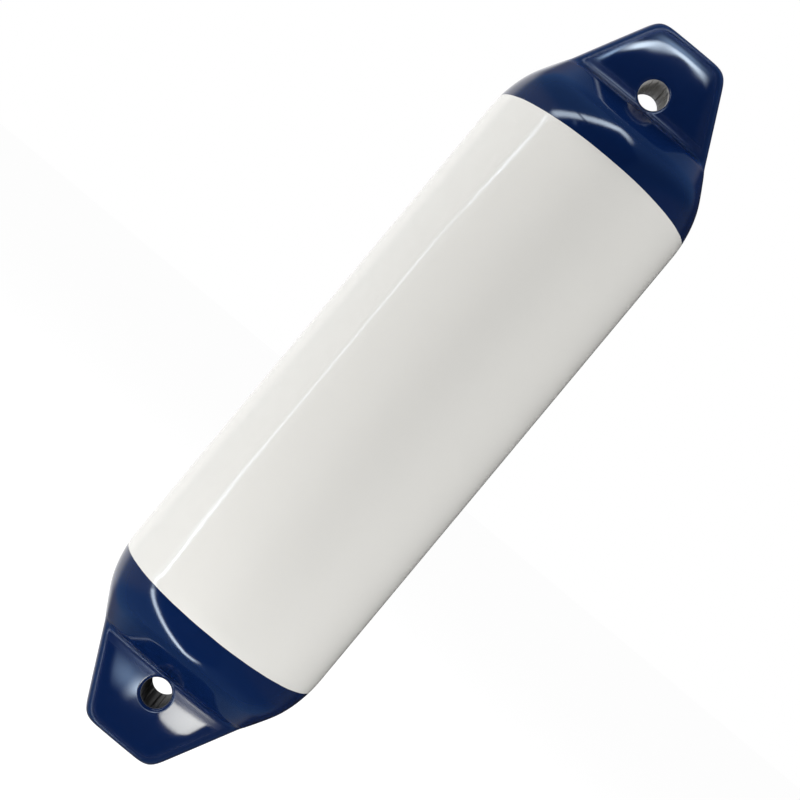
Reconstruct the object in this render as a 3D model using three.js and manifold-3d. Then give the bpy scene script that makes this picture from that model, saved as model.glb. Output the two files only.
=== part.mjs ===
// Boat fender: an air-filled tube of soft plastic with an eye at each end, moulded in one piece.
// A rubber seat and a screw plug on the back of the upper head close its air valve.
// Units are millimetres. The fender hangs upright: +Z runs along it to the upper eye, the two flat
// tabs lie in the XZ plane, and the front faces -Y. The origin is the middle of the fender.

import * as THREE from 'three';
import { mergeVertices } from 'three/addons/utils/BufferGeometryUtils.js';
import Module from 'manifold-3d';

const wasm = await Module();
wasm.setup();

// The tube and its coloured heads. Distances in a head are measured from the edge of its colour.
const tubeDiameter = 150;
const whiteLength = 365;
const shoulderLength = 43;
const tabLength = 58.5;

// The shoulder, from the round tube down to the lip above the tab
const shoulderStart = -9;
const shoulderRoundingAcross = 73;
const shoulderRoundingFront = 45;
const lipWidth = 114.5;
const lipThickness = 68;
const lipSquareness = 3;
const lipSoftness = 1.5;

// The tab that holds the eye. Its sides carry on the straight lines of the shoulder's sides.
const tabThickness = 48;
const tabCornerRounding = 11;
const tabEdgeWidth = 6.5;
const tabEdgeSquareness = 2.3;
const tipFlatDepth = 0.15;
const stepLength = 10.5;
const stepSharpness = 3;

// The tab's faces are flat in the middle, fall off gently round it and bend down at the border
const crownFromLip = 33;
const crownFlatRadius = 10;
const crownDrop = 0.0055;
const crownSpread = 30;
const pillowWidth = 15;
const pillowRadius = 60;

// The eye for the line
const eyeDiameter = 19;
const eyeFromLip = 15.6;
const eyeRimRadius = 2.5;

// The air valve on the back of the upper shoulder
const valveFromColour = 35.5;
const valveSeatDiameter = 16;
const valveSeatDepth = 7;
const valveSeatProud = 0.8;
const plugHeadDiameter = 10.5;
const plugHeadThickness = 2.2;
const plugShankDiameter = 6.4;
const plugShankLength = 5;
const plugSlotWidth = 1.4;
const plugSlotDepth = 1.2;
const clearance = 0.3;

// Facets
const columns = 64;
const roundSides = 32;
const shoulderRings = 9;
const rampRings = 3;
const stepRings = 8;
const tabRings = 5;
const tipRings = 14;

const tubeRadius = tubeDiameter / 2;
const headLength = shoulderLength + tabLength;
const crownFromColour = shoulderLength + crownFromLip;
const eyeFromColour = shoulderLength + eyeFromLip;
const white = new THREE.Color('#e9e8e4');
const navy = new THREE.Color('#12265c');

// Half size of a shoulder seen from one side: the tube, an arc that leaves it smoothly, and the
// straight line that leaves the arc smoothly and runs through the lip.
function shoulderProfile(rounding, lipHalf) {
  const centreHeight = tubeRadius - rounding;
  const lipZ = shoulderLength - shoulderStart;
  const lipHeight = lipHalf - centreHeight;
  const lipDistance = Math.hypot(lipZ, lipHeight);
  const lean = Math.atan2(lipZ, lipHeight) - Math.acos(Math.min(rounding / lipDistance, 1));
  const arcEnd = shoulderStart + rounding * Math.sin(lean);
  const halfAt = (z) => {
    if (z <= shoulderStart) return tubeRadius;
    if (z < arcEnd) return centreHeight + Math.sqrt(rounding ** 2 - (z - shoulderStart) ** 2);
    return lipHalf + (shoulderLength - z) * Math.tan(lean);
  };
  return { halfAt, arcEnd, lean };
}

const across = shoulderProfile(shoulderRoundingAcross, lipWidth / 2);
const front = shoulderProfile(shoulderRoundingFront, lipThickness / 2);

// Half thickness of the shoulder: a circle at the tube that squares up towards the lip
function shoulderHalfThickness(x, z) {
  const ratio = Math.abs(x) / across.halfAt(z);
  if (ratio >= 1) return -1;
  const squaring = THREE.MathUtils.smoothstep(z, shoulderStart, shoulderLength);
  const power = THREE.MathUtils.lerp(2, lipSquareness, squaring);
  return front.halfAt(z) * (1 - ratio ** power) ** (1 / power);
}

// The smaller of two distances, with the corner between them rounded
function roundedSmaller(a, b, rounding) {
  const overlap = Math.max(rounding - Math.abs(a - b), 0) / rounding;
  return Math.min(a, b) - overlap ** 3 * rounding / 6;
}

// How far a point lies inside the tab's outline: a trapezium with rounded tip corners
function tabInset(x, z) {
  const toSide = (across.halfAt(z) - Math.abs(x)) * Math.cos(across.lean);
  const toTip = headLength + tipFlatDepth - z;
  return roundedSmaller(toSide, toTip, tabCornerRounding);
}

// Half thickness of the tab: flat in the middle, crowned round it, bent down and rounded all
// round its outline
function tabHalfThickness(x, z) {
  const inset = tabInset(x, z);
  if (inset <= 0) return -1;
  const fromFlat = Math.max(Math.hypot(x, z - crownFromColour) - crownFlatRadius, 0);
  const crown = crownDrop * fromFlat ** 2 / (1 + fromFlat / crownSpread);
  const pillow = Math.max(pillowWidth - inset, 0) ** 2 / (2 * pillowRadius);
  const fromEdge = 1 - Math.min(inset / tabEdgeWidth, 1);
  const edge = (1 - fromEdge ** tabEdgeSquareness) ** (1 / tabEdgeSquareness);
  return (tabThickness / 2 - crown - pillow) * edge;
}

// The step between lip and tab falls steeply at first and runs out in a fillet
function stepShare(z) {
  const pastLip = -roundedSmaller(shoulderLength - z, 0, lipSoftness);
  const along = Math.min(pastLip / stepLength, 1);
  return 1 - (1 - along) ** stepSharpness;
}

// Half thickness of a head at a place on its front outline, below zero outside it
function headHalfThickness(x, z) {
  if (z >= headLength) return -1;
  const share = stepShare(z);
  const shoulder = share < 1 ? (1 - share) * shoulderHalfThickness(x, z) : 0;
  const tab = share > 0 ? share * tabHalfThickness(x, z) : 0;
  return shoulder + tab;
}

// Distance to a head's surface from a point on the axis, found by halving
function surfaceReach(originZ, polar, azimuth) {
  const stepX = Math.sin(polar) * Math.cos(azimuth);
  const stepY = Math.sin(polar) * Math.sin(azimuth);
  const stepZ = Math.cos(polar);
  let inside = 0;
  let outside = tubeDiameter;
  for (let halving = 0; halving < 40; halving += 1) {
    const reach = (inside + outside) / 2;
    const half = headHalfThickness(reach * stepX, originZ + reach * stepZ);
    if (Math.abs(reach * stepY) < half) inside = reach;
    else outside = reach;
  }
  return inside;
}

// Rings of one head, from the tube to the tip. Level rings look straight out from the axis, and
// those round the tip look out from one point and tilt up towards the pole.
function headRings() {
  const rings = [];
  const addLevel = (from, to, count) => {
    for (let ring = 0; ring < count; ring += 1) {
      rings.push({ z: THREE.MathUtils.lerp(from, to, ring / count), polar: Math.PI / 2 });
    }
  };
  const stepStart = shoulderLength - lipSoftness;
  const stepEnd = shoulderLength + stepLength;
  addLevel(shoulderStart, front.arcEnd, shoulderRings);
  addLevel(front.arcEnd, stepStart, rampRings);
  addLevel(stepStart, stepEnd, stepRings);
  addLevel(stepEnd, crownFromColour, tabRings);
  for (let ring = 0; ring < tipRings; ring += 1) {
    rings.push({ z: crownFromColour, polar: (1 - ring / tipRings) * Math.PI / 2 });
  }
  return rings;
}

// A column's direction: evenly spread round the tube, closer together at the tab's two edges
function columnAzimuth(column, z) {
  const turn = column / columns * 2 * Math.PI;
  const gather = THREE.MathUtils.lerp(1, 0.55, THREE.MathUtils.smoothstep(z, 0, shoulderLength));
  return Math.atan2(Math.sin(turn) * gather, Math.cos(turn));
}

function headPoint(ring, column, side) {
  const azimuth = columnAzimuth(column, ring.z);
  const reach = surfaceReach(ring.z, ring.polar, azimuth);
  const level = ring.z + reach * Math.cos(ring.polar);
  return [
    reach * Math.sin(ring.polar) * Math.cos(azimuth),
    reach * Math.sin(ring.polar) * Math.sin(azimuth),
    side * (whiteLength / 2 + level),
  ];
}

// The fender's closed skin: rings from the lower tip to the upper one, with a point at each pole
function skinGeometry() {
  const upper = headRings();
  const tip = whiteLength / 2 + headLength;
  const rows = [
    ...upper.map((ring) => ({ ring, side: -1 })).reverse(),
    ...upper.map((ring) => ({ ring, side: 1 })),
  ];
  const points = [0, 0, -tip];
  for (const { ring, side } of rows) {
    for (let column = 0; column < columns; column += 1) points.push(...headPoint(ring, column, side));
  }
  points.push(0, 0, tip);
  const faces = [];
  const at = (row, column) => 1 + row * columns + column % columns;
  const last = rows.length - 1;
  for (let column = 0; column < columns; column += 1) {
    faces.push(0, at(0, column + 1), at(0, column));
    for (let row = 0; row < last; row += 1) {
      faces.push(at(row, column), at(row, column + 1), at(row + 1, column + 1));
      faces.push(at(row, column), at(row + 1, column + 1), at(row + 1, column));
    }
    faces.push(at(last, column), at(last, column + 1), points.length / 3 - 1);
  }
  const geometry = new THREE.BufferGeometry();
  geometry.setAttribute('position', new THREE.Float32BufferAttribute(points, 3));
  geometry.setIndex(faces);
  return geometry;
}

function toSolid(geometry) {
  const bare = geometry.clone();
  bare.deleteAttribute('normal');
  bare.deleteAttribute('uv');
  const merged = mergeVertices(bare, 1e-4);
  return new wasm.Manifold(new wasm.Mesh({
    numProp: 3,
    vertProperties: new Float32Array(merged.attributes.position.array),
    triVerts: new Uint32Array(merged.index.array),
  }));
}

function toGeometry(solid) {
  const mesh = solid.getMesh();
  const geometry = new THREE.BufferGeometry();
  geometry.setAttribute('position', new THREE.Float32BufferAttribute(mesh.vertProperties, 3));
  geometry.setIndex(new THREE.Uint32BufferAttribute(mesh.triVerts, 1));
  return geometry;
}

// A turned solid about its own Y axis, from points given as [radius, height]
function turned(profile) {
  return new THREE.LatheGeometry(profile.map(([radius, height]) => new THREE.Vector2(radius, height)),
    roundSides);
}

// The hole of an eye, along Y: its ends flare in a quarter round where they meet the tab's faces
function eyeHole(side) {
  const radius = eyeDiameter / 2;
  const face = tabThickness / 2;
  const arcSteps = 4;
  const mouth = [];
  for (let step = 0; step <= arcSteps; step += 1) {
    const turn = step / arcSteps * Math.PI / 2;
    mouth.push([
      radius + eyeRimRadius * (1 - Math.cos(turn)),
      face - eyeRimRadius * (1 - Math.sin(turn)),
    ]);
  }
  mouth.push([radius + eyeRimRadius, face + eyeRimRadius]);
  const lower = mouth.map(([r, height]) => [r, -height]).reverse();
  const hole = turned([[0, -face - eyeRimRadius], ...lower, ...mouth, [0, face + eyeRimRadius]]);
  return hole.translate(0, 0, side * (whiteLength / 2 + eyeFromColour));
}

// The valve stands square on the straight ramp at the back of the upper shoulder
const valvePlace = new THREE.Group();
valvePlace.position.set(0, front.halfAt(valveFromColour), whiteLength / 2 + valveFromColour);
valvePlace.rotation.x = front.lean;
valvePlace.updateMatrixWorld();

const seatRadius = valveSeatDiameter / 2;
const boreRadius = plugShankDiameter / 2 + clearance;
const plugSeatHeight = valveSeatProud - plugHeadThickness / 2;

function valvePocket() {
  const pocket = turned([
    [0, -valveSeatDepth - clearance],
    [seatRadius + clearance, -valveSeatDepth - clearance],
    [seatRadius + clearance, seatRadius],
    [0, seatRadius],
  ]);
  return pocket.applyMatrix4(valvePlace.matrixWorld);
}

// A rubber bush with a chamfered rim, a counterbore for the plug's head and a blind threaded bore
function valveSeat() {
  const counterbore = plugHeadDiameter / 2 + clearance;
  const rimChamfer = 0.6;
  return turned([
    [0, -valveSeatDepth],
    [seatRadius, -valveSeatDepth],
    [seatRadius, valveSeatProud - rimChamfer],
    [seatRadius - rimChamfer, valveSeatProud],
    [counterbore, valveSeatProud],
    [counterbore, plugSeatHeight - clearance],
    [boreRadius, plugSeatHeight - clearance],
    [boreRadius, plugSeatHeight - plugShankLength - clearance],
    [0, plugSeatHeight - plugShankLength - clearance],
  ]);
}

// A slotted screw: the head stands half out of its counterbore
function valvePlug() {
  const headRadius = plugHeadDiameter / 2;
  const shankRadius = plugShankDiameter / 2;
  const headTop = plugSeatHeight + plugHeadThickness;
  const edgeChamfer = 0.4;
  const screw = turned([
    [0, plugSeatHeight - plugShankLength],
    [shankRadius - edgeChamfer, plugSeatHeight - plugShankLength],
    [shankRadius, plugSeatHeight - plugShankLength + edgeChamfer],
    [shankRadius, plugSeatHeight],
    [headRadius, plugSeatHeight],
    [headRadius, headTop - edgeChamfer],
    [headRadius - edgeChamfer, headTop],
    [0, headTop],
  ]);
  const slot = new THREE.BoxGeometry(plugHeadDiameter * 2, plugSlotDepth * 2, plugSlotWidth);
  slot.translate(0, headTop, 0);
  return toGeometry(toSolid(screw).subtract(toSolid(slot)));
}

// Colour of the moulding: navy beyond each colour edge, white between them
function paintHeads(geometry) {
  const painted = geometry.toNonIndexed();
  const position = painted.attributes.position;
  const colours = [];
  for (let corner = 0; corner < position.count; corner += 3) {
    const middle = (position.getZ(corner) + position.getZ(corner + 1) + position.getZ(corner + 2)) / 3;
    const colour = Math.abs(middle) > whiteLength / 2 ? navy : white;
    for (let repeat = 0; repeat < 3; repeat += 1) colours.push(...colour.toArray());
  }
  painted.setAttribute('color', new THREE.Float32BufferAttribute(colours, 3));
  painted.computeVertexNormals();
  return painted;
}

function fenderBody() {
  const solid = toSolid(skinGeometry())
    .subtract(toSolid(eyeHole(1)))
    .subtract(toSolid(eyeHole(-1)))
    .subtract(toSolid(valvePocket()));
  const plastic = new THREE.MeshStandardMaterial({ vertexColors: true, roughness: 0.25, metalness: 0 });
  const mesh = new THREE.Mesh(paintHeads(toGeometry(solid)), plastic);
  mesh.name = 'fender_body';
  return mesh;
}

function valveMesh(name, geometry, colour, roughness) {
  const mesh = new THREE.Mesh(geometry,
    new THREE.MeshStandardMaterial({ color: colour, roughness, metalness: 0 }));
  mesh.name = name;
  return mesh;
}

const fender = new THREE.Group();
fender.add(fenderBody(), valvePlace);
valvePlace.add(valveMesh('valve_seat', valveSeat(), '#1b1c20', 0.6));
valvePlace.add(valveMesh('valve_plug', valvePlug(), '#d9d8d2', 0.35));

export default fender;
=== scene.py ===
import math

import bpy
from mathutils import Matrix, Vector


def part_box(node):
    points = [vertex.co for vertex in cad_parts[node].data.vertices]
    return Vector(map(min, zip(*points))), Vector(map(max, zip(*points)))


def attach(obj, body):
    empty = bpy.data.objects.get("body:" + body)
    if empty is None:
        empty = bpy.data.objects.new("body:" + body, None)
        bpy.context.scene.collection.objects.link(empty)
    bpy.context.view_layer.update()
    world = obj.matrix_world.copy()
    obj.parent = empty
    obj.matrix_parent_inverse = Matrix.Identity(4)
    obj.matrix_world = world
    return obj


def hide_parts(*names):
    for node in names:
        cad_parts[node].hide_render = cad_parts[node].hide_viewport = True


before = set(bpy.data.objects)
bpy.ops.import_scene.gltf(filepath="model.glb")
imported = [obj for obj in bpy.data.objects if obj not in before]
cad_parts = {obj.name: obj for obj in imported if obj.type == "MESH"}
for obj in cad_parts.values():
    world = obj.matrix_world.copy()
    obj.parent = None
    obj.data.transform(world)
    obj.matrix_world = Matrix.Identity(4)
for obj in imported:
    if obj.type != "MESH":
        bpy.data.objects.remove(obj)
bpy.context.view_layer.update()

bl_info = {
    "name": "Boat fender",
    "version": (1, 0, 0),
    "blender": (4, 5, 0),
    "location": "3D View > Sidebar > Fender",
    "description": "Dresses the boat fender: its moulding, its air valve and a plain studio",
    "category": "Object",
}

TUBE_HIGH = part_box("fender_body")[1]

# From the middle of the fender to the edge of a head's colour, in metres.
WHITE_HALF = 0.1825

# Facets of the moulding. Columns run along the fender, rows round it. Round each eye a square
# patch of the grid is bent into circles, so the eye's rim is made of whole rings.
PATCH = 28
EYE_RING = 8
RIM_RING = 16
SIDE_COLUMNS = 40
TUBE_ROWS = 3
SHOULDER_ROWS = 36
NECK_ROWS = 2
TIP_ROWS = 56
VALVE_SIDES = 64

# The search for the surface along a ray: its halvings, and a reach past the whole moulding.
HALVINGS = 26
SEARCH_REACH = 0.2

# The wall of an eye has a ring this many rims' widths from the middle plane.
WALL_RING = 5.0

# Points closer than this become one.
WELD = 1e-6

# Sizes of the noises in the finishes; more is finer.
WANDER_NOISE = 60.0
MOTTLE_NOISE = 9.0
PEEL_NOISE = 55.0
GRAIN_NOISE = 700.0

# How the duller finish of a tab's border and step fades into the rest of the coat, in metres.
EDGE_FADE = 0.003
EDGE_LAP = 0.001

# The gloss of soft plastic, and the grain of the valve's two pieces.
PLASTIC_IOR = 1.5
VALVE_MOTTLE = 0.85
VALVE_ROUGHNESS_SPREAD = 0.1
VALVE_RELIEF = 0.3
VALVE_RELIEF_DEPTH = 0.0001

# The strip lamp in the gloss, and the bright blob on it. The profile is in half widths from the
# strip's edge, the rest in radians.
STRIP_PROFILE = (-0.8, 0.6)
STRIP_WIDENING = 0.25
STRIP_BRIGHTENING = 0.1
STRIP_RIGHT_END = 0.03
STRIP_RIGHT_SOFT = 0.08
BLOB_INWARD = 0.02
BLOB_DOWN = 0.175
BLOB_HALF_WIDTH = 0.07
BLOB_HALF_HEIGHT = 0.09

# Soft edges of the room in the gloss: angles in radians, heights from -1 below to 1 above.
DARK_STRIP_SOFT = 0.08
DARK_RIGHT_SOFT = (-0.12, 0.03)
SIDES_SOFT = 0.1
BACK_SOFT = 0.3
BACK_WHITE_HEIGHT = (0.35, 0.55)
COOL_HEIGHT = (0.25, 0.55)

# Stretches where the strip lamps are fainter: place and reach in degrees, and the share lost.
FAINT_STRETCHES = ((51.5, 3.5, 0.85), (16.0, 5.0, 0.9), (-17.0, 4.0, 0.7))

# Colours of light.
PLAIN_WHITE = (1.0, 1.0, 1.0, 1.0)
CREAM = (1.0, 1.0, 0.94, 1.0)
PALE_BLUE = (0.74, 0.87, 1.0, 1.0)
SKY_BLUE = (0.50, 0.71, 1.0, 1.0)


def length(name, default, description):
    return bpy.props.FloatProperty(
        name=name, description=description, default=default, unit="LENGTH", precision=5)


def colour(name, default, description):
    return bpy.props.FloatVectorProperty(
        name=name, description=description, default=default, size=3,
        subtype="COLOR", min=0.0, max=1.0)


def amount(name, default, description):
    return bpy.props.FloatProperty(name=name, description=description, default=default)


def angle(name, degrees, description):
    return bpy.props.FloatProperty(
        name=name, description=description, default=math.radians(degrees), subtype="ANGLE")


class FenderShape(bpy.types.PropertyGroup):
    """Sizes of the moulding. Distances in a head start at the edge of its colour"""

    tube_radius: length("Tube Radius", TUBE_HIGH.x, "Radius of the round tube")
    white_half: length("White Half", WHITE_HALF, "From the middle to the edge of a head's colour")
    head_length: length("Head Length", TUBE_HIGH.z - WHITE_HALF, "From the colour's edge to the tip")
    shoulder_start: length("Shoulder Start", -0.009, "Where the tube begins to round off")
    shoulder_length: length("Shoulder Length", 0.043, "Where the shoulder ends in a lip")
    rounding_across: length("Rounding Across", 0.073, "Radius of the shoulder seen from the front")
    rounding_front: length("Rounding Front", 0.045, "Radius of the shoulder seen from the side")
    lip_half_width: length("Lip Half Width", 0.05725, "Half the width of the shoulder's lip")
    lip_half_thickness: length("Lip Half Thickness", 0.034, "Half the thickness at the lip")
    lip_squareness: amount("Lip Squareness", 3.0, "2 is an ellipse, more is squarer")
    tab_half_thickness: length("Tab Half Thickness", 0.024, "Half the tab's thickness")
    tab_corner: length("Tab Corner", 0.011, "Rounding of the tab's two tip corners")
    tab_edge_width: length("Tab Edge Width", 0.0065, "Width of the rounded border of the tab")
    tab_edge_squareness: amount("Tab Edge Squareness", 2.3, "2 is a round edge, more is squarer")
    pillow_width: length("Pillow Width", 0.015, "Width over which the tab's faces bend down")
    pillow_radius: length("Pillow Radius", 0.060, "Radius of that bend")
    crown_from_colour: length("Crown From Colour", 0.076, "Middle of the tab's flat")
    crown_flat_radius: length("Crown Flat Radius", 0.010, "Radius of the tab's flat")
    crown_drop: amount("Crown Drop", 5.5, "How fast the tab's face falls off round its flat")
    crown_spread: length("Crown Spread", 0.030, "Where the crown's fall eases off")
    tip_flat: length("Tip Flat Depth", 0.00015, "How much the flat at the tip takes off")
    step_length: length("Step Length", 0.0105, "From the lip to the flat of the tab")
    step_sharpness: amount("Step Sharpness", 3.0, "How steeply the step starts to fall")
    lip_softness: length("Lip Softness", 0.0015, "Length over which the lip is rounded")
    eye_from_colour: length("Eye From Colour", 0.0586, "From the colour's edge to the eye")
    eye_radius: length("Eye Radius", 0.0095, "Radius of the hole for the line")
    eye_rim: length("Eye Rim", 0.0025, "Rounding of the eye's rim")
    valve_from_colour: length("Valve From Colour", 0.0355, "From the colour's edge to the valve")
    valve_pocket_radius: length("Valve Pocket Radius", 0.0083, "Radius of the valve's pocket")
    valve_pocket_depth: length("Valve Pocket Depth", 0.0073, "Depth of the valve's pocket")


class FenderFinish(bpy.types.PropertyGroup):
    """Colours and gloss"""

    white: colour("White", (0.80, 0.79, 0.755), "Bare plastic of the tube")
    upper_bore: colour("Upper Bore", (0.50, 0.49, 0.47), "Bare wall of the upper eye")
    # The lower bore colour is painted shade: the same bare wall as the upper eye, darkened to stand
    # in for the shade inside the lower eye.
    lower_bore_painted_shade: colour("Lower Bore", (0.035, 0.036, 0.038), "Dark wall of the lower eye")
    navy: colour("Navy", (0.0026, 0.0125, 0.062), "Coat on the heads")
    rubber: colour("Rubber", (0.012, 0.012, 0.014), "Valve seat")
    nylon: colour("Nylon", (0.62, 0.61, 0.57), "Valve plug")
    white_roughness: amount("White Roughness", 0.08, "Gloss of the tube")
    navy_roughness: amount("Navy Roughness", 0.08, "Gloss of the heads")
    edge_roughness: amount("Edge Roughness", 0.3, "Gloss of the tabs' borders and steps")
    bore_roughness: amount("Bore Roughness", 0.6, "Gloss of the eyes' bare walls")
    rubber_roughness: amount("Rubber Roughness", 0.55, "Gloss of the valve seat")
    nylon_roughness: amount("Nylon Roughness", 0.35, "Gloss of the valve plug")
    roughness_spread: amount("Roughness Spread", 0.03, "How much the moulding's gloss varies")
    white_mottle: amount("White Mottle", 0.025, "How much darker the white gets in places")
    navy_mottle: amount("Navy Mottle", 0.2, "How much darker and lighter the navy gets")
    edge_wander: length("Edge Wander", 0.0004, "How far the edge of the colour wanders")
    edge_softness: length("Edge Softness", 0.00015, "Half the width of the colour's edge")
    coat_from_eye: length("Coat From Eye", 0.0001, "From the eye's wall to the coat's start")
    coat_run_in: length("Coat Run In", 0.0003, "Width over which the coat starts at the eye")
    peel_share: amount("Peel", 0.6, "Height of the slight waves in the gloss")
    grain_share: amount("Grain", 0.03, "Height of the fine grain")
    relief_strength: amount("Relief Strength", 0.35, "Strength of waves, grain and coat edge")
    relief_depth: length("Relief Depth", 0.00035, "Depth of waves, grain and coat edge")


class FenderStudio(bpy.types.PropertyGroup):
    """Camera, lamps and room"""

    camera_distance: length("Camera Distance", 0.964, "From the camera to the fender's axis")
    camera_z: length("Camera Along", -0.0048, "Camera's place along the fender")
    camera_roll: angle("Camera Roll", 39.77, "Lean of the fender in the picture")
    camera_lens: amount("Lens", 68.3, "Focal length in millimetres")
    fill: amount("Fill", 0.08, "Strength of the plain light from all round")
    left_wall: amount("Left Wall", 0.42, "Brightness of the left side wall in the gloss")
    right_wall: amount("Right Wall", 0.12, "Brightness of the right side wall in the gloss")
    high_wall: amount("High Wall", 0.28, "Brightness of the right wall beyond the tips")
    end_wall: amount("End Wall", 0.18, "Brightness of the walls straight over the two tips")
    pale: colour("Pale", (0.76, 0.88, 1.0), "Colour of the lamps and of the room in front")
    cool: colour("Cool", (0.3, 0.58, 1.0), "Colour of the walls over the fender's two ends")
    dark_wall: amount("Dark Wall", 0.02, "Brightness of the dark wall behind the camera")
    dark_edge: angle("Dark Edge", 16.0, "Where the dark wall ends on the right")
    strip_side: angle("Strip Side", 75.6, "Where the strip lamps pass the fender's side")
    strip_end: angle("Strip End", 91.0, "Where the strip lamps end, over the fender's tips")
    strip_straight: angle("Strip Straight", 8.0, "Half the length on which the strip runs straight")
    strip_bow_upper: amount("Upper Strip Bow", 0.85, "1 bends straight to the end, less bows in")
    strip_bow_lower: amount("Lower Strip Bow", 0.95, "1 bends straight to the end, less bows in")
    strip_thin: angle("Strip Thin", 0.45, "Half the width of the strip lamps along the tube")
    strip_wide_upper: angle("Upper Strip Width", 2.6, "Half its width over the upper end")
    strip_wide_lower: angle("Lower Strip Width", 1.5, "Half its width over the lower end")
    strip_strength: amount("Strip Strength", 15.0, "Brightness of the strip lamps")
    strip_upper_share: amount("Upper Share", 0.7, "Its brightness over the upper end, of that")
    strip_straight_share: amount("Straight Share", 0.4, "Its brightness along the tube, of that")
    blob_strength: amount("Blob Strength", 3.0, "Brightness of the soft end of the straight strip")
    card_cone: angle("Card Cone", 54.0, "Width of the cone in which the cards shine")
    back_start: angle("Back Start", 118.0, "Where the back of the room begins")
    floor_drop: length("Floor Drop", 0.6, "From the middle of the fender down to the floor")
    floor_size: length("Floor Size", 40.0, "Length of the floor's side")
    floor_glow: amount("Floor Glow", 0.97, "Brightness of the floor in the picture")
    floor_shade: amount("Floor Shade", 0.16, "How much of its light a shadow takes from the floor")
    floor_bounce: amount("Floor Bounce", 0.5, "How much of its light the floor gives back")


def bearing(compass, height):
    """Direction at a compass angle from the camera's side and a height angle"""
    flat = math.cos(height)
    return Vector((flat * math.sin(compass), -flat * math.cos(compass), math.sin(height)))


class Lamp:
    """A soft lamp. It stands at a compass angle from the camera's side and a height angle"""

    def __init__(self, name, compass, height, distance, size, level):
        self.name = name
        self.distance = distance
        self.compass = math.radians(compass)
        self.height = math.radians(height)
        self.size = size
        self.level = level

    def place(self):
        return bearing(self.compass, self.height) * self.distance

    def watts(self):
        """Power that lights a facing surface at this level, where 1 renders its colour as written"""
        return self.level * (math.pi * self.distance) ** 2


LAMPS = (
    Lamp("left_lamp", compass=-78, height=4, distance=2.4, size=1.2, level=0.81),
    Lamp("low_front_lamp", compass=-8, height=-52, distance=0.48, size=0.25, level=0.20),
    Lamp("high_front_lamp", compass=-8, height=52, distance=0.48, size=0.25, level=0.06),
    Lamp("right_lamp", compass=42, height=4, distance=2.4, size=0.9, level=0.24),
    Lamp("side_lamp", compass=59, height=0, distance=2.4, size=0.8, level=0.32),
    Lamp("upper_end_lamp", compass=180, height=70, distance=2.4, size=0.8, level=1.4),
    Lamp("lower_end_lamp", compass=180, height=-70, distance=2.4, size=0.8, level=1.6),
)


class Screen:
    """The plane of the cards before a tab, square to a bearing from a spot on the tab"""

    def __init__(self, spot, compass, height, distance):
        compass = math.radians(compass)
        outward = bearing(compass, math.radians(height))
        self.middle = Vector(spot) + outward * distance
        self.to_right = Vector((math.cos(compass), math.sin(compass), 0.0))
        self.upward = outward.cross(self.to_right)

    def point(self, right, up):
        return self.middle + self.to_right * right + self.upward * up


class Card:
    """A bright card close before a tab. It shines in a narrow cone and only gloss shows it.
    Right and up are counted from the middle of its screen"""

    def __init__(self, name, screen, right, up, target, wide, high, lean, soft, strength, tint):
        self.name = name
        self.place = screen.point(right, up)
        self.target = Vector(target)
        self.wide = wide
        self.high = high
        self.lean = math.radians(lean)
        self.soft = soft
        self.strength = strength
        self.tint = tint

    def watts(self, cone):
        """Power that gives the card its strength in the middle of its cone"""
        half = cone / 2.0
        focus = math.tan(half) / (math.tan(half) - half)
        return self.strength * math.pi * self.wide * self.high / focus


UPPER_SCREEN = Screen(spot=(0.0, -0.024, 0.262), compass=-4, height=24, distance=0.16)
LOWER_SCREEN = Screen(spot=(0.012, -0.024, -0.25), compass=8, height=-11, distance=0.16)

CARDS = (
    Card("upper_card_left", UPPER_SCREEN, right=-0.055, up=-0.0125, target=(-0.016, -0.024, 0.268),
         wide=0.100, high=0.034, lean=19, soft=0.8, strength=28.0, tint=PALE_BLUE),
    Card("upper_card_right", UPPER_SCREEN, right=0.015, up=0.003, target=(0.006, -0.024, 0.272),
         wide=0.130, high=0.034, lean=6, soft=0.8, strength=22.0, tint=PALE_BLUE),
    Card("upper_glow", UPPER_SCREEN, right=0, up=0.022, target=(0.0, -0.024, 0.276),
         wide=0.190, high=0.050, lean=5, soft=1.0, strength=8.0, tint=SKY_BLUE),
    Card("upper_left_end", UPPER_SCREEN, right=-0.103, up=-0.032, target=(-0.032, -0.022, 0.262),
         wide=0.028, high=0.075, lean=5, soft=1.0, strength=20.0, tint=SKY_BLUE),
    Card("lower_card", LOWER_SCREEN, right=0.018, up=0.011, target=(0.018, -0.024, -0.252),
         wide=0.078, high=0.039, lean=0, soft=0.3, strength=18.0, tint=CREAM),
    Card("lower_glow", LOWER_SCREEN, right=-0.052, up=0.008, target=(-0.006, -0.024, -0.252),
         wide=0.056, high=0.056, lean=0, soft=1.0, strength=17.0, tint=PALE_BLUE),
    Card("lower_left_end", LOWER_SCREEN, right=-0.085, up=0.01, target=(-0.020, -0.024, -0.25),
         wide=0.100, high=0.060, lean=0, soft=1.0, strength=5.5, tint=SKY_BLUE),
)


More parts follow.
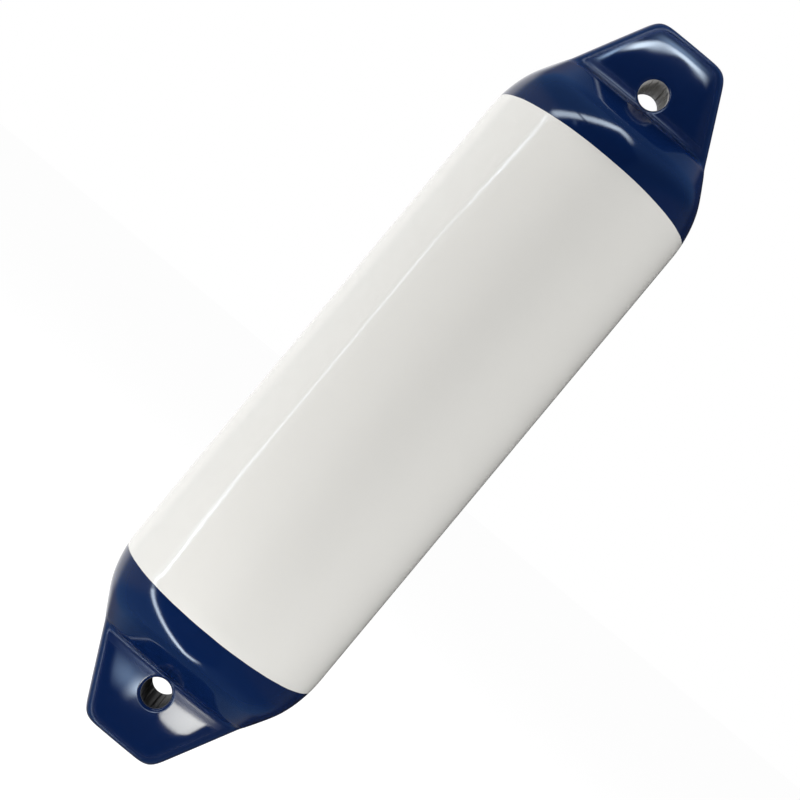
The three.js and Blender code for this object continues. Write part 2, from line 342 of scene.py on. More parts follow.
class Wire:
    """A node's socket in sums: each operator adds a Math node to the tree"""

    def __init__(self, tree, socket):
        self.tree = tree
        self.socket = socket

    def plug(self, target):
        self.tree.links.new(self.socket, target)

    def sibling(self, output):
        return Wire(self.tree, self.socket.node.outputs[output])

    def math(self, operation, *others):
        node = self.tree.nodes.new("ShaderNodeMath")
        node.operation = operation
        for target, value in zip(node.inputs, (self, *others)):
            plug(value, target)
        return Wire(self.tree, node.outputs[0])

    def __add__(self, other):
        return self.math("ADD", other)

    def __radd__(self, other):
        return self.math("ADD", other)

    def __sub__(self, other):
        return self.math("SUBTRACT", other)

    def __rsub__(self, other):
        return self.math("MULTIPLY_ADD", -1.0, other)

    def __mul__(self, other):
        return self.math("MULTIPLY", other)

    def __rmul__(self, other):
        return self.math("MULTIPLY", other)

    def __truediv__(self, other):
        return self.math("DIVIDE", other)

    def __rtruediv__(self, other):
        return (self * (1.0 / other)).math("POWER", -1.0)

    def __pow__(self, other):
        return self.math("POWER", other)

    def __neg__(self):
        return self.math("MULTIPLY", -1.0)

    def __abs__(self):
        return self.math("ABSOLUTE")

    def __lt__(self, other):
        return self.math("LESS_THAN", other)

    def __gt__(self, other):
        return self.math("GREATER_THAN", other)

    def least(self, other):
        return self.math("MINIMUM", other)

    def most(self, other):
        return self.math("MAXIMUM", other)

    def within_one(self):
        return self.least(1.0).most(0.0)

    def root(self):
        return self.most(0.0).math("SQRT")

    def smooth_step(self, low, high):
        share = ((self - low) / (high - low)).within_one()
        return share * share * (3.0 - 2.0 * share)


def plug(value, target):
    if isinstance(value, Wire):
        value.plug(target)
    else:
        target.default_value = value


def blend(start, end, share):
    return start + (end - start) * share


def bell(value, middle, reach, soft=1.0):
    """1 at the middle, falling off to 0 at the reach on either side, over a share of it"""
    return (1.0 - abs(value - middle) / reach).smooth_step(0.0, soft)


def turn_step(value, low, high):
    """0 below the low angle and 1 above the high one, both in degrees"""
    return value.smooth_step(math.radians(low), math.radians(high))


def choose(condition, if_true, if_false):
    return blend(if_false, if_true, condition)


def far(a, b):
    return (a * a + b * b).root()


class Board:
    """A node tree and the one way of adding its other nodes"""

    def __init__(self, tree):
        self.tree = tree

    def add(self, kind, settings=None, sockets=None, output=0):
        node = self.tree.nodes.new(kind)
        for name, value in (settings or {}).items():
            setattr(node, name, value)
        for name, value in (sockets or {}).items():
            plug(value, node.inputs[name])
        return Wire(self.tree, node.outputs[output])

    def vector(self, x, y, z):
        return self.add("ShaderNodeCombineXYZ", sockets={"X": x, "Y": y, "Z": z})

    def parts(self, vector):
        x = self.add("ShaderNodeSeparateXYZ", sockets={"Vector": vector})
        return x, x.sibling("Y"), x.sibling("Z")

    def repeat(self, times, starts, step):
        """Runs step(values) a number of times inside a repeat zone and returns the last values"""
        first = self.tree.nodes.new("GeometryNodeRepeatInput")
        last = self.tree.nodes.new("GeometryNodeRepeatOutput")
        first.pair_with_output(last)
        last.repeat_items.clear()
        for name in starts:
            last.repeat_items.new("FLOAT", name)
        first.inputs["Iterations"].default_value = times
        for name, value in starts.items():
            plug(value, first.inputs[name])
        inner = {name: Wire(self.tree, first.outputs[name]) for name in starts}
        for name, value in step(inner).items():
            plug(value, last.inputs[name])
        return {name: Wire(self.tree, last.outputs[name]) for name in starts}


class Moulding:
    """Formulas of the fender's surface, in the nodes of one tree"""

    def __init__(self, size):
        self.size = size

    def shoulder(self, z, rounding, lip_half):
        """Half size of the shoulder seen from one side: an arc, then a line to the lip"""
        size = self.size
        centre = size.tube_radius - rounding
        lip_z = size.shoulder_length - size.shoulder_start
        lip_height = lip_half - centre
        ratio = (rounding / far(lip_z, lip_height)).least(1.0)
        lean = lip_z.math("ARCTAN2", lip_height) - ratio.math("ARCCOSINE")
        arc_end = size.shoulder_start + rounding * lean.math("SINE")
        along = (z - size.shoulder_start).most(0.0)
        arc = centre + (rounding * rounding - along * along).root()
        line = lip_half + (size.shoulder_length - z) * lean.math("TANGENT")
        return choose(z < arc_end, arc, line), lean

    def across(self, z):
        """Half width of the outline seen from the front, and the lean of its straight line"""
        return self.shoulder(z, self.size.rounding_across, self.size.lip_half_width)

    def shoulder_half_thickness(self, x, z):
        size = self.size
        front, _ = self.shoulder(z, size.rounding_front, size.lip_half_thickness)
        squaring = z.smooth_step(size.shoulder_start, size.shoulder_length)
        power = blend(2.0, size.lip_squareness, squaring)
        half_width, _ = self.across(z)
        ratio = abs(x) / half_width
        half = front * (1.0 - ratio.least(1.0) ** power).most(0.0) ** (1.0 / power)
        return choose(ratio < 1.0, half, -1.0)

    def tab_half_thickness(self, x, z):
        size = self.size
        half_width, lean = self.across(z)
        to_side = (half_width - abs(x)) * lean.math("COSINE")
        to_tip = size.head_length + size.tip_flat - z
        inset = to_side.math("SMOOTH_MIN", to_tip, size.tab_corner)
        from_edge = 1.0 - (inset / size.tab_edge_width).within_one()
        edge = (1.0 - from_edge ** size.tab_edge_squareness) ** (1.0 / size.tab_edge_squareness)
        bend = (size.pillow_width - inset).most(0.0)
        pillow = bend * bend / (2.0 * size.pillow_radius)
        from_flat = (far(x, z - size.crown_from_colour) - size.crown_flat_radius).most(0.0)
        crown = size.crown_drop * from_flat * from_flat / (1.0 + from_flat / size.crown_spread)
        face = size.tab_half_thickness - crown - pillow
        return choose(inset > 0.0, face * edge, -1.0)

    def half_thickness(self, x, z):
        """Half thickness of a head at a place on its front outline, below zero outside it"""
        size = self.size
        past_lip = (z - size.shoulder_length).math("SMOOTH_MAX", 0.0, size.lip_softness)
        along = (past_lip / size.step_length).within_one()
        share = 1.0 - (1.0 - along) ** size.step_sharpness
        shoulder = self.shoulder_half_thickness(x, z)
        tab = self.tab_half_thickness(x, z)
        half = choose(share > 0.0, blend(shoulder, tab, share), shoulder)
        return choose(z < size.head_length, half, -1.0)

    def reach(self, board, level, polar, sideways):
        """Distance from the axis to the surface along a ray, by halving"""
        level_share = polar.math("SINE")
        climb = polar.math("COSINE")
        x_share = level_share * sideways.math("SINE")
        y_share = level_share * sideways.math("COSINE")

        def halve(values):
            middle = (values["Inside"] + values["Outside"]) * 0.5
            half = self.half_thickness(middle * x_share, level + middle * climb)
            is_inside = (middle * y_share) < half
            return {
                "Inside": choose(is_inside, middle, values["Inside"]),
                "Outside": choose(is_inside, values["Outside"], middle),
            }

        found = board.repeat(HALVINGS, {"Inside": 0.0, "Outside": SEARCH_REACH}, halve)
        return found["Inside"]


class TreeSizes:
    """A tree's named inputs, one for each size in a property group"""

    def __init__(self, tree, group):
        tree.interface.new_socket("Geometry", in_out="OUTPUT", socket_type="NodeSocketGeometry")
        self.identifiers = {}
        names = list(group.__annotations__)
        labels = group.bl_rna.properties
        for name in names:
            socket = tree.interface.new_socket(
                labels[name].name, in_out="INPUT", socket_type="NodeSocketFloat")
            self.identifiers[name] = socket.identifier
        node = tree.nodes.new("NodeGroupInput")
        for name, output in zip(names, node.outputs):
            setattr(self, name, Wire(tree, output))

    def hand_to(self, modifier, values):
        for name, identifier in self.identifiers.items():
            modifier[identifier] = getattr(values, name)


def grid_rows(size, row):
    """Level and tilt of the ring in each row, counted from the middle of the tube to a tip"""
    patch_reach = size.eye_from_colour - size.shoulder_length
    patch_step = patch_reach / PATCH
    stations = (
        (TUBE_ROWS, size.white_half + size.shoulder_start),
        (SHOULDER_ROWS, size.eye_from_colour - patch_reach - size.shoulder_start),
        (2 * PATCH, patch_reach * 2.0),
        (NECK_ROWS, size.crown_from_colour - size.eye_from_colour - patch_reach),
    )
    level = -size.white_half
    first = 0
    for rows, span in stations:
        level = level + span * ((row - float(first)) / rows).within_one()
        first += rows
    tilt = ((row - float(first)) / TIP_ROWS).within_one()
    polar = (1.0 - tilt) * (math.pi / 2)
    return level, polar, patch_step


def skin_tree(material):
    """Geometry Nodes tree of the fender's closed skin, with its eyes and its valve pocket"""
    tree = bpy.data.node_groups.new("fender_skin", "GeometryNodeTree")
    board = Board(tree)
    size = TreeSizes(tree, FenderShape)
    moulding = Moulding(size)
    rows = TUBE_ROWS + SHOULDER_ROWS + 2 * PATCH + NECK_ROWS + TIP_ROWS
    quarter = PATCH + SIDE_COLUMNS

    barrel = board.add(
        "GeometryNodeMeshCylinder", {"fill_type": "NONE"},
        {"Vertices": 4 * quarter, "Side Segments": 2 * rows, "Radius": 1.0, "Depth": 2.0}, "Mesh")
    start_x, start_y, start_z = board.parts(board.add("GeometryNodeInputPosition"))
    side_x = start_x.math("SIGN")
    side_y = start_y.math("SIGN")
    side_z = start_z.math("SIGN")
    row = (abs(start_z) * float(rows)).math("ROUND")
    turn = abs(start_x).math("ARCTAN2", abs(start_y)) / (math.pi / 2)
    column = (turn * float(quarter)).math("ROUND")
    level, polar, patch_step = grid_rows(size, row)

    # Columns are evenly spaced across the eye's patch, then spread evenly round to the side.
    patch_x = column.least(float(PATCH)) * patch_step
    across = patch_x.math("ARCTAN2", moulding.half_thickness(patch_x, level))
    share = ((column - float(PATCH)) / SIDE_COLUMNS).within_one()
    sideways = blend(across, math.pi / 2, share)
    reach = moulding.reach(board, level, polar, sideways)
    flat_reach = reach * polar.math("SINE")
    ray_x = flat_reach * sideways.math("SINE")
    ray_y = flat_reach * sideways.math("COSINE")
    ray_z = level + reach * polar.math("COSINE")

    # Squares of the patch become circles at the eye and stay squares at the patch's edge.
    eye_row = float(TUBE_ROWS + SHOULDER_ROWS + PATCH)
    from_eye = row - eye_row
    ring = column.most(abs(from_eye))
    rim_turn = ((ring - float(EYE_RING)) / (RIM_RING - EYE_RING)).within_one() * (math.pi / 2)
    rim_radius = size.eye_radius + size.eye_rim * (1.0 - rim_turn.math("COSINE"))
    drop = size.eye_rim * (1.0 - rim_turn.math("SINE"))
    outward = ((ring - float(RIM_RING)) / (PATCH - RIM_RING)).within_one()
    round_radius = blend(rim_radius, patch_step * PATCH, outward)
    square_radius = far(column, from_eye).most(0.5)
    radius = blend(round_radius, square_radius * patch_step, outward.smooth_step(0.0, 1.0))
    eye_x = radius * column / square_radius
    eye_z = size.eye_from_colour + radius * from_eye / square_radius
    eye_y = moulding.half_thickness(eye_x, eye_z) - drop
    in_patch = ring < PATCH - 0.5

    head_x = choose(in_patch, eye_x, ray_x)
    head_y = choose(in_patch, eye_y, ray_y)
    head_z = choose(in_patch, eye_z, ray_z)
    place = board.vector(side_x * head_x, side_y * head_y, side_z * (size.white_half + head_z))

    marked = board.add(
        "GeometryNodeStoreNamedAttribute", {"data_type": "FLOAT", "domain": "POINT"},
        {"Geometry": barrel, "Name": "eye_ring", "Value": ring})
    shaped = board.add("GeometryNodeSetPosition", sockets={"Geometry": marked, "Position": place})
    closed = board.add(
        "GeometryNodeMergeByDistance", sockets={"Geometry": shaped, "Distance": WELD})
    eye_ring = board.add(
        "GeometryNodeInputNamedAttribute", {"data_type": "FLOAT"}, {"Name": "eye_ring"})
    pierced = board.add(
        "GeometryNodeDeleteGeometry", {"domain": "FACE"},
        {"Geometry": closed, "Selection": eye_ring < float(EYE_RING)})

    # The wall of each eye: the open rims are drawn to the middle plane and joined there.
    neighbours = board.add("GeometryNodeInputMeshEdgeNeighbors")
    walls = board.add(
        "GeometryNodeExtrudeMesh", {"mode": "EDGES"},
        {"Mesh": pierced, "Selection": neighbours < 1.5, "Offset Scale": 0.0})
    x, y, z = board.parts(board.add("GeometryNodeInputPosition"))
    outer_wall = board.add(
        "GeometryNodeSetPosition",
        sockets={"Geometry": walls, "Selection": walls.sibling("Top"),
                 "Position": board.vector(x, y.math("SIGN") * size.eye_rim * WALL_RING, z)})
    inner_walls = board.add(
        "GeometryNodeExtrudeMesh", {"mode": "EDGES"},
        {"Mesh": outer_wall, "Selection": walls.sibling("Top"), "Offset Scale": 0.0})
    met = board.add(
        "GeometryNodeSetPosition",
        sockets={"Geometry": inner_walls, "Selection": inner_walls.sibling("Top"),
                 "Position": board.vector(x, 0.0, z)})
    joined = board.add("GeometryNodeMergeByDistance", sockets={"Geometry": met, "Distance": WELD})

    # The valve's pocket stands square on the ramp at the back of the upper shoulder.
    half, lean = moulding.shoulder(
        size.valve_from_colour, size.rounding_front, size.lip_half_thickness)
    tall = size.valve_pocket_depth * 2.0
    drill = board.add(
        "GeometryNodeMeshCylinder", {"fill_type": "NGON"},
        {"Vertices": VALVE_SIDES, "Side Segments": 1,
         "Radius": size.valve_pocket_radius, "Depth": tall}, "Mesh")
    placed_drill = board.add(
        "GeometryNodeTransform",
        sockets={"Geometry": drill,
                 "Translation": board.vector(0.0, half, size.white_half + size.valve_from_colour),
                 "Rotation": board.vector(lean - math.pi / 2, 0.0, 0.0)})
    drilled = board.add(
        "GeometryNodeMeshBoolean", {"operation": "DIFFERENCE", "solver": "EXACT"},
        {"Mesh 1": joined, "Mesh 2": placed_drill}, "Mesh")
    smooth = board.add(
        "GeometryNodeSetShadeSmooth", {"domain": "FACE"},
        {"Geometry": drilled, "Shade Smooth": True})
    crisp = board.add(
        "GeometryNodeSetShadeSmooth", {"domain": "EDGE"},
        {"Geometry": smooth, "Selection": drilled.sibling("Intersecting Edges"),
         "Shade Smooth": False})
    real = board.add("GeometryNodeRealizeInstances", sockets={"Geometry": crisp})
    painted = board.add(
        "GeometryNodeSetMaterial", sockets={"Geometry": real, "Material": material})
    output = tree.nodes.new("NodeGroupOutput")
    painted.plug(output.inputs["Geometry"])
    return tree, size


def plain_material(name):
    material = bpy.data.materials.new(name)
    material.use_nodes = True
    material.node_tree.nodes.clear()
    return material, Board(material.node_tree)


def finish_material(board, shader_settings):
    """Adds the Principled shader and the output"""
    shader = board.add("ShaderNodeBsdfPrincipled", sockets=shader_settings, output="BSDF")
    output = board.tree.nodes.new("ShaderNodeOutputMaterial")
    shader.plug(output.inputs["Surface"])


def mix_colours(board, share, start, end):
    node = board.tree.nodes.new("ShaderNodeMix")
    node.data_type = "RGBA"
    plug(share, node.inputs["Factor"])
    plug(start, node.inputs[6])
    plug(end, node.inputs[7])
    return Wire(board.tree, node.outputs[2])


def noise(board, place, scale, detail=2.0):
    return board.add(
        "ShaderNodeTexNoise", {"noise_dimensions": "3D"},
        {"Vector": place, "Scale": scale, "Detail": detail}, "Fac")


def relief(board, height, strength, depth):
    return board.add(
        "ShaderNodeBump", sockets={"Strength": strength, "Distance": depth, "Height": height},
        output="Normal")


def solid(rgb):
    return (*rgb, 1.0)


def shade(rgb, share):
    return solid([part * share for part in rgb])


def edge_share(shape, x, z):
    """1 on the rounded border and the step of a tab, 0 on its face and on the shoulder"""
    centre = shape.tube_radius - shape.rounding_across
    lip_z = shape.shoulder_length - shape.shoulder_start
    lip_height = shape.lip_half_width - centre
    ratio = min(shape.rounding_across / math.hypot(lip_z, lip_height), 1.0)
    lean = math.atan2(lip_z, lip_height) - math.acos(ratio)
    half_width = shape.lip_half_width + (shape.shoulder_length - z) * math.tan(lean)
    to_side = (half_width - abs(x)) * math.cos(lean)
    inset = to_side.math("SMOOTH_MIN", shape.head_length - z, shape.tab_corner)
    border = 1.0 - inset.smooth_step(shape.tab_edge_width, shape.tab_edge_width + EDGE_FADE)
    step_end = shape.shoulder_length + shape.step_length
    step = 1.0 - z.smooth_step(step_end - EDGE_LAP, step_end - EDGE_LAP + EDGE_FADE)
    on_tab = z.smooth_step(shape.shoulder_length - EDGE_FADE, shape.shoulder_length + EDGE_LAP)
    return border.most(step) * on_tab


def moulding_material(shape, finish):
    """White plastic, navy on the heads up to a crisp edge, bare walls in the eyes, with painted
    shade darkening the lower eye's wall
    """
    material, board = plain_material("moulding")
    place = board.add("ShaderNodeTexCoord", output="Object")
    x, y, z = board.parts(place)
    wander = (noise(board, place, WANDER_NOISE) - 0.5) * finish.edge_wander
    beyond = abs(z) - shape.white_half + wander
    on_head = beyond.smooth_step(-finish.edge_softness, finish.edge_softness)
    from_eye = far(x, abs(z) - (shape.white_half + shape.eye_from_colour))
    coat_start = shape.eye_radius + finish.coat_from_eye
    coated = on_head * from_eye.smooth_step(coat_start, coat_start + finish.coat_run_in)
    in_bore = on_head * (1.0 - coated)
    mottle = noise(board, place, MOTTLE_NOISE)
    white = mix_colours(
        board, mottle, shade(finish.white, 1.0 - finish.white_mottle), solid(finish.white))
    # The lower eye's wall takes the darkened colour, which is painted shade; the upper eye's wall
    # keeps its bare grey.
    bore_and_painted_shade = mix_colours(board, z > 0.0, solid(finish.lower_bore_painted_shade), solid(finish.upper_bore))
    bare = mix_colours(board, in_bore, white, bore_and_painted_shade)
    navy = mix_colours(
        board, mottle, shade(finish.navy, 1.0 - finish.navy_mottle),
        shade(finish.navy, 1.0 + finish.navy_mottle))
    colour_wire = mix_colours(board, coated, bare, navy)
    grain = noise(board, place, GRAIN_NOISE)
    bare_roughness = blend(finish.white_roughness, finish.bore_roughness, in_bore)
    edge = edge_share(shape, x, abs(z) - shape.white_half)
    coat_roughness = blend(finish.navy_roughness, finish.edge_roughness, edge)
    spread = (grain - 0.5) * finish.roughness_spread
    roughness = blend(bare_roughness, coat_roughness, coated) + spread
    peel = noise(board, place, PEEL_NOISE, 1.0) * finish.peel_share
    height = peel + grain * finish.grain_share + coated
    bump = relief(board, height, finish.relief_strength, finish.relief_depth)
    finish_material(board, {
        "Base Color": colour_wire, "Roughness": roughness, "Normal": bump, "IOR": PLASTIC_IOR})
    return material


def valve_material(name, rgb, roughness, fineness):
    """Rubber or nylon with a fine grain"""
    material, board = plain_material(name)
    place = board.add("ShaderNodeTexCoord", output="Object")
    grain = noise(board, place, fineness)
    finish_material(board, {
        "Base Color": mix_colours(board, grain, shade(rgb, VALVE_MOTTLE), solid(rgb)),
        "Roughness": roughness + (grain - 0.5) * VALVE_ROUGHNESS_SPREAD,
        "Normal": relief(board, grain, VALVE_RELIEF, VALVE_RELIEF_DEPTH)})
    return material


def plain_mesh(source, name):
    """The evaluated mesh of an object with modifiers, as a new object of its own"""
    graph = bpy.context.evaluated_depsgraph_get()
    mesh = bpy.data.meshes.new_from_object(source.evaluated_get(graph))
    mesh.name = name
    piece = bpy.data.objects.new(name, mesh)
    bpy.context.scene.collection.objects.link(piece)
    bpy.data.objects.remove(source)
    return piece


class FENDER_OT_moulding(bpy.types.Operator):
    """Makes the fender's one-piece moulding"""

    bl_idname = "fender.moulding"
    bl_label = "Moulding"

    def execute(self, context):
        shape = context.scene.fender_shape
        material = moulding_material(shape, context.scene.fender_finish)
        tree, size = skin_tree(material)
        mesh = bpy.data.meshes.new("skin_seed")
        seed = bpy.data.objects.new("skin_seed", mesh)
        context.scene.collection.objects.link(seed)
        modifier = seed.modifiers.new("Skin", "NODES")
        modifier.node_group = tree
        size.hand_to(modifier, shape)
        piece = plain_mesh(seed, "moulding")
        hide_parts("fender_body")
        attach(piece, "root")
        return {"FINISHED"}


class FENDER_OT_valve(bpy.types.Operator):
    """Gives the valve's rubber seat and nylon plug their finishes"""

    bl_idname = "fender.valve"
    bl_label = "Valve"

    def execute(self, context):
        finish = context.scene.fender_finish
        finishes = {
            "valve_seat": valve_material(
                "valve_rubber", finish.rubber, finish.rubber_roughness, fineness=900.0),
            "valve_plug": valve_material(
                "valve_nylon", finish.nylon, finish.nylon_roughness, fineness=600.0),
        }
        for node, material in finishes.items():
            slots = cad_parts[node].data.materials
            slots.clear()
            slots.append(material)
        return {"FINISHED"}


def soft_lamp(lamp):
    """An area lamp that lights the object and stays out of the picture and the gloss"""
    light = bpy.data.lights.new(lamp.name, "AREA")
    light.shape = "SQUARE"
    light.size = lamp.size
    light.energy = lamp.watts()
    holder = bpy.data.objects.new(lamp.name, light)
    bpy.context.scene.collection.objects.link(holder)
    holder.location = lamp.place()
    holder.rotation_euler = (-holder.location).to_track_quat("-Z", "Y").to_euler()
    holder.visible_camera = False
    holder.visible_glossy = False


def tab_card(card, cone):
    """The area lamp of a card, with soft edges"""
    light = bpy.data.lights.new(card.name, "AREA")
    light.shape = "RECTANGLE"
    light.size = card.wide
    light.size_y = card.high
    light.spread = cone
    light.energy = card.watts(cone)
    light.use_nodes = True
    light.node_tree.nodes.clear()
    board = Board(light.node_tree)
    across, over, _ = board.parts(board.add("ShaderNodeNewGeometry", output="Parametric"))
    in_width = bell(across, 0.5, 0.5, card.soft)
    in_height = bell(over, 0.5, 0.5, card.soft)
    glow = board.add(
        "ShaderNodeEmission", sockets={"Color": card.tint, "Strength": in_width * in_height})
    output = light.node_tree.nodes.new("ShaderNodeOutputLight")
    glow.plug(output.inputs["Surface"])
    holder = bpy.data.objects.new(card.name, light)
    bpy.context.scene.collection.objects.link(holder)
    facing = (card.target - card.place).to_track_quat("-Z", "Y").to_matrix().to_4x4()
    lean = Matrix.Rotation(card.lean, 4, "Z")
    holder.matrix_world = Matrix.Translation(card.place) @ facing @ lean
    holder.visible_camera = False
    holder.visible_diffuse = False


def strip_lamps(studio, sideways, upward, past_straight, from_strip):
    """Brightness of the strip on the left: straight along the tube, bent in over both tips"""
    upper = upward > 0.0
    wide = choose(upper, studio.strip_wide_upper, studio.strip_wide_lower)
    half = blend(studio.strip_thin, wide, past_straight.smooth_step(0.0, STRIP_WIDENING))
    on_strip = ((half - abs(from_strip)) / half).smooth_step(*STRIP_PROFILE)
    on_left = (STRIP_RIGHT_END - sideways).smooth_step(-STRIP_RIGHT_SOFT, STRIP_RIGHT_SOFT)
    end_share = choose(upper, studio.strip_upper_share, 1.0)
    at_end = past_straight.smooth_step(0.0, STRIP_BRIGHTENING)
    share = blend(studio.strip_straight_share, end_share, at_end)
    glow = on_strip * on_left * share * studio.strip_strength
    for place, reach, loss in FAINT_STRETCHES:
        glow = glow * (1.0 - loss * bell(upward, math.radians(place), math.radians(reach)))
    blob_side = (sideways + studio.strip_side - BLOB_INWARD) / BLOB_HALF_WIDTH
    blob_up = (upward + BLOB_DOWN) / BLOB_HALF_HEIGHT
    blob = (1.0 - far(blob_side, blob_up)).most(0.0) * studio.blob_strength
    return glow + blob


def room_walls(studio, sideways, upward):
    """Brightness of the walls outside the strip, from side to side and over the tips"""
    high = turn_step(abs(upward), 50.0, 90.0)
    right_wall = blend(studio.right_wall, studio.high_wall, high)
    side_wall = blend(studio.left_wall, right_wall, sideways.smooth_step(-SIDES_SOFT, SIDES_SOFT))
    over_middle = 1.0 - turn_step(abs(sideways), 18.0, 50.0)
    past_strip = turn_step(abs(upward), 88.0, 104.0)
    return blend(side_wall, studio.end_wall, over_middle * past_strip)


def room_back(studio, sideways, z):
    """Brightness of the background behind the fender: white on the far left, dark on the right"""
    level = 1.0 - abs(z).smooth_step(*BACK_WHITE_HEIGHT)
    far_left = turn_step(-sideways, 50.0, 75.0) * level
    far_right = turn_step(sideways, 57.0, 75.0)
    return blend(blend(studio.end_wall, studio.dark_wall, far_right), 1.0, far_left)


def room_light(board, studio):
    """Brightness and colour of the room that the gloss mirrors, by direction from the fender.
    Directions are angles from the camera's side"""
    direction = board.add("ShaderNodeTexCoord", output="Generated")
    x, y, z = board.parts(direction)
    away = (-y).most(-1.0).least(1.0).math("ARCCOSINE")
    flat = far(x, z).most(1e-6)
    sideways = away * x / flat
    upward = away * z / flat
    past_straight = (abs(upward) - studio.strip_straight).most(0.0)
    bent = studio.strip_end - studio.strip_straight
    bow = choose(upward > 0.0, studio.strip_bow_upper, studio.strip_bow_lower)
    corner = (abs(sideways) / studio.strip_side) ** bow + (past_straight / bent) ** bow
    from_strip = (corner ** (1.0 / bow) - 1.0) / math.hypot(1.0 / studio.strip_side, 1.0 / bent)
    lamps = strip_lamps(studio, sideways, upward, past_straight, from_strip)
    inside = (-from_strip).smooth_step(0.0, DARK_STRIP_SOFT)
    in_dark = inside * (studio.dark_edge - sideways).smooth_step(*DARK_RIGHT_SOFT)
    at_back = away.smooth_step(studio.back_start, studio.back_start + BACK_SOFT)
    walls = blend(room_walls(studio, sideways, upward), room_back(studio, sideways, z), at_back)
    room = blend(walls, studio.dark_wall, in_dark) + lamps
    pale = mix_colours(board, at_back, solid(studio.pale), PLAIN_WHITE)
    coolness = abs(z).smooth_step(*COOL_HEIGHT) * (1.0 - at_back) * (1.0 - lamps.least(1.0))
    tint = mix_colours(board, coolness, pale, solid(studio.cool))
    return room, tint


def studio_world(studio):
    """A white background, with a room in front of the fender for its gloss, and a plain fill"""
    world = bpy.data.worlds.new("studio")
    bpy.context.scene.world = world
    world.use_nodes = True
    world.cycles.sampling_method = "NONE"
    world.node_tree.nodes.clear()
    board = Board(world.node_tree)
    camera_ray = board.add("ShaderNodeLightPath", output="Is Camera Ray")
    in_picture = camera_ray.most(camera_ray.sibling("Is Transmission Ray"))
    in_gloss = camera_ray.sibling("Is Glossy Ray")
    room, tint = room_light(board, studio)
    strength = choose(in_picture, 1.0, choose(in_gloss, room, studio.fill))
    tinted = mix_colours(board, in_gloss, PLAIN_WHITE, tint)
    sky = board.add(
        "ShaderNodeBackground", sockets={"Color": tinted, "Strength": strength},
        output="Background")
    output = world.node_tree.nodes.new("ShaderNodeOutputWorld")
    sky.plug(output.inputs["Surface"])


def floor_material(studio):
    """Pale floor that renders white and keeps a faint shadow, clear from below"""
    material, board = plain_material("floor")
    glow = board.add(
        "ShaderNodeEmission", sockets={"Color": PLAIN_WHITE, "Strength": studio.floor_glow})
    pale = board.add(
        "ShaderNodeBsdfDiffuse", sockets={"Color": shade(PLAIN_WHITE[:3], studio.floor_shade)})
    lit = board.add("ShaderNodeAddShader")
    glow.plug(lit.socket.node.inputs[0])
    pale.plug(lit.socket.node.inputs[1])
    plain = board.add(
        "ShaderNodeBsdfDiffuse", sockets={"Color": shade(PLAIN_WHITE[:3], studio.floor_bounce)})
    clear = board.add("ShaderNodeBsdfTransparent")
    camera_ray = board.add("ShaderNodeLightPath", output="Is Camera Ray")
    in_picture = camera_ray.most(camera_ray.sibling("Is Glossy Ray"))
    in_picture = in_picture.most(camera_ray.sibling("Is Transmission Ray"))
    from_below = board.add("ShaderNodeNewGeometry", output="Backfacing")
    seen = mix_shaders(board, in_picture, plain, lit)
    shown = mix_shaders(board, from_below, seen, clear)
    output = board.tree.nodes.new("ShaderNodeOutputMaterial")
    shown.plug(output.inputs["Surface"])
    return material


def mix_shaders(board, share, start, end):
    node = board.tree.nodes.new("ShaderNodeMixShader")
    plug(share, node.inputs[0])
    plug(start, node.inputs[1])
    plug(end, node.inputs[2])
    return Wire(board.tree, node.outputs[0])


def pale_floor(studio):
    half = studio.floor_size / 2.0
    corners = [(x, y, -studio.floor_drop) for x, y in
               ((-half, -half), (half, -half), (half, half), (-half, half))]
    mesh = bpy.data.meshes.new("floor")
    mesh.from_pydata(corners, [], [(0, 1, 2, 3)])
    mesh.materials.append(floor_material(studio))
    floor = bpy.data.objects.new("floor", mesh)
    bpy.context.scene.collection.objects.link(floor)
    floor.visible_glossy = False


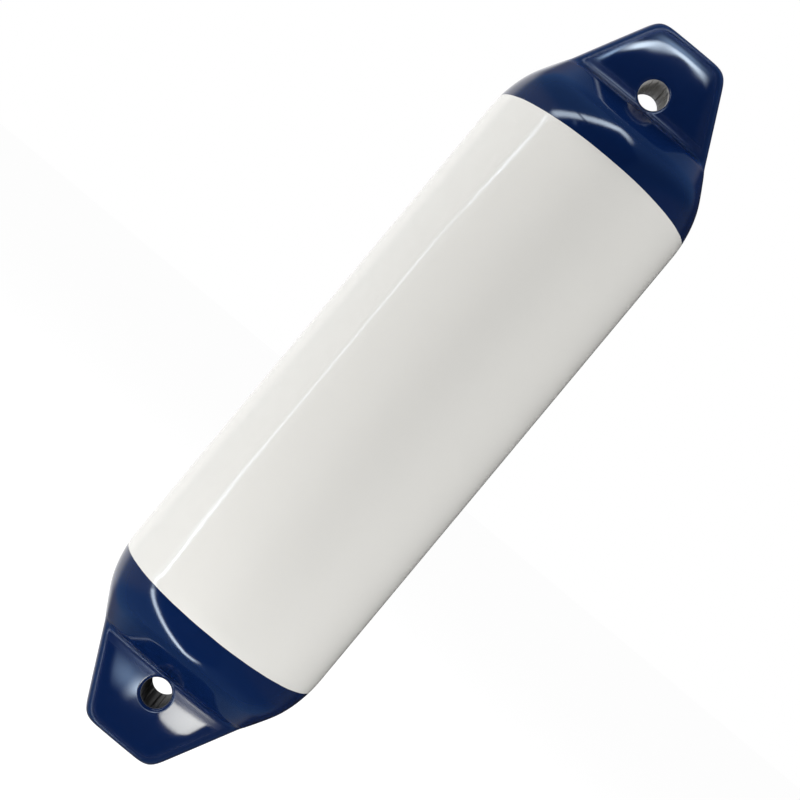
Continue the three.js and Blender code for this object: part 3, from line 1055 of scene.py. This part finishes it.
def photo_camera(studio):
    camera = bpy.data.objects.new("camera", bpy.data.cameras.new("camera"))
    bpy.context.scene.collection.objects.link(camera)
    camera.data.lens = studio.camera_lens
    roll = studio.camera_roll
    right = Vector((math.cos(roll), 0.0, math.sin(roll)))
    up = Vector((-math.sin(roll), 0.0, math.cos(roll)))
    toward = Vector((0.0, -1.0, 0.0))
    turn = Matrix((right, up, toward)).transposed().to_4x4()
    spot = Vector((0.0, -studio.camera_distance, studio.camera_z))
    camera.matrix_world = Matrix.Translation(spot) @ turn
    bpy.context.scene.camera = camera


class FENDER_OT_stage(bpy.types.Operator):
    """Sets up the camera, the lamps, the room and the floor"""

    bl_idname = "fender.stage"
    bl_label = "Stage"

    def execute(self, context):
        studio = context.scene.fender_studio
        photo_camera(studio)
        studio_world(studio)
        pale_floor(studio)
        for lamp in LAMPS:
            soft_lamp(lamp)
        for card in CARDS:
            tab_card(card, studio.card_cone)
        context.scene.view_settings.view_transform = "Standard"
        return {"FINISHED"}


class FENDER_PT_panel(bpy.types.Panel):
    """Lists the fender's operators and settings"""

    bl_idname = "FENDER_PT_panel"
    bl_label = "Fender"
    bl_space_type = "VIEW_3D"
    bl_region_type = "UI"
    bl_category = "Fender"

    def draw(self, context):
        for operator in OPERATORS:
            self.layout.operator(operator.bl_idname)
        for group in (context.scene.fender_shape, context.scene.fender_finish,
                      context.scene.fender_studio):
            box = self.layout.box()
            for name in type(group).__annotations__:
                box.prop(group, name)


OPERATORS = (FENDER_OT_moulding, FENDER_OT_valve, FENDER_OT_stage)
GROUPS = (FenderShape, FenderFinish, FenderStudio)


def register():
    for item in (*GROUPS, *OPERATORS, FENDER_PT_panel):
        bpy.utils.register_class(item)
    bpy.types.Scene.fender_shape = bpy.props.PointerProperty(type=FenderShape)
    bpy.types.Scene.fender_finish = bpy.props.PointerProperty(type=FenderFinish)
    bpy.types.Scene.fender_studio = bpy.props.PointerProperty(type=FenderStudio)


def unregister():
    del bpy.types.Scene.fender_studio
    del bpy.types.Scene.fender_finish
    del bpy.types.Scene.fender_shape
    for item in reversed((*GROUPS, *OPERATORS, FENDER_PT_panel)):
        bpy.utils.unregister_class(item)


def main():
    register()
    for operator in OPERATORS:
        group, name = operator.bl_idname.split(".")
        getattr(getattr(bpy.ops, group), name)()


if __name__ == "__main__":
    main()
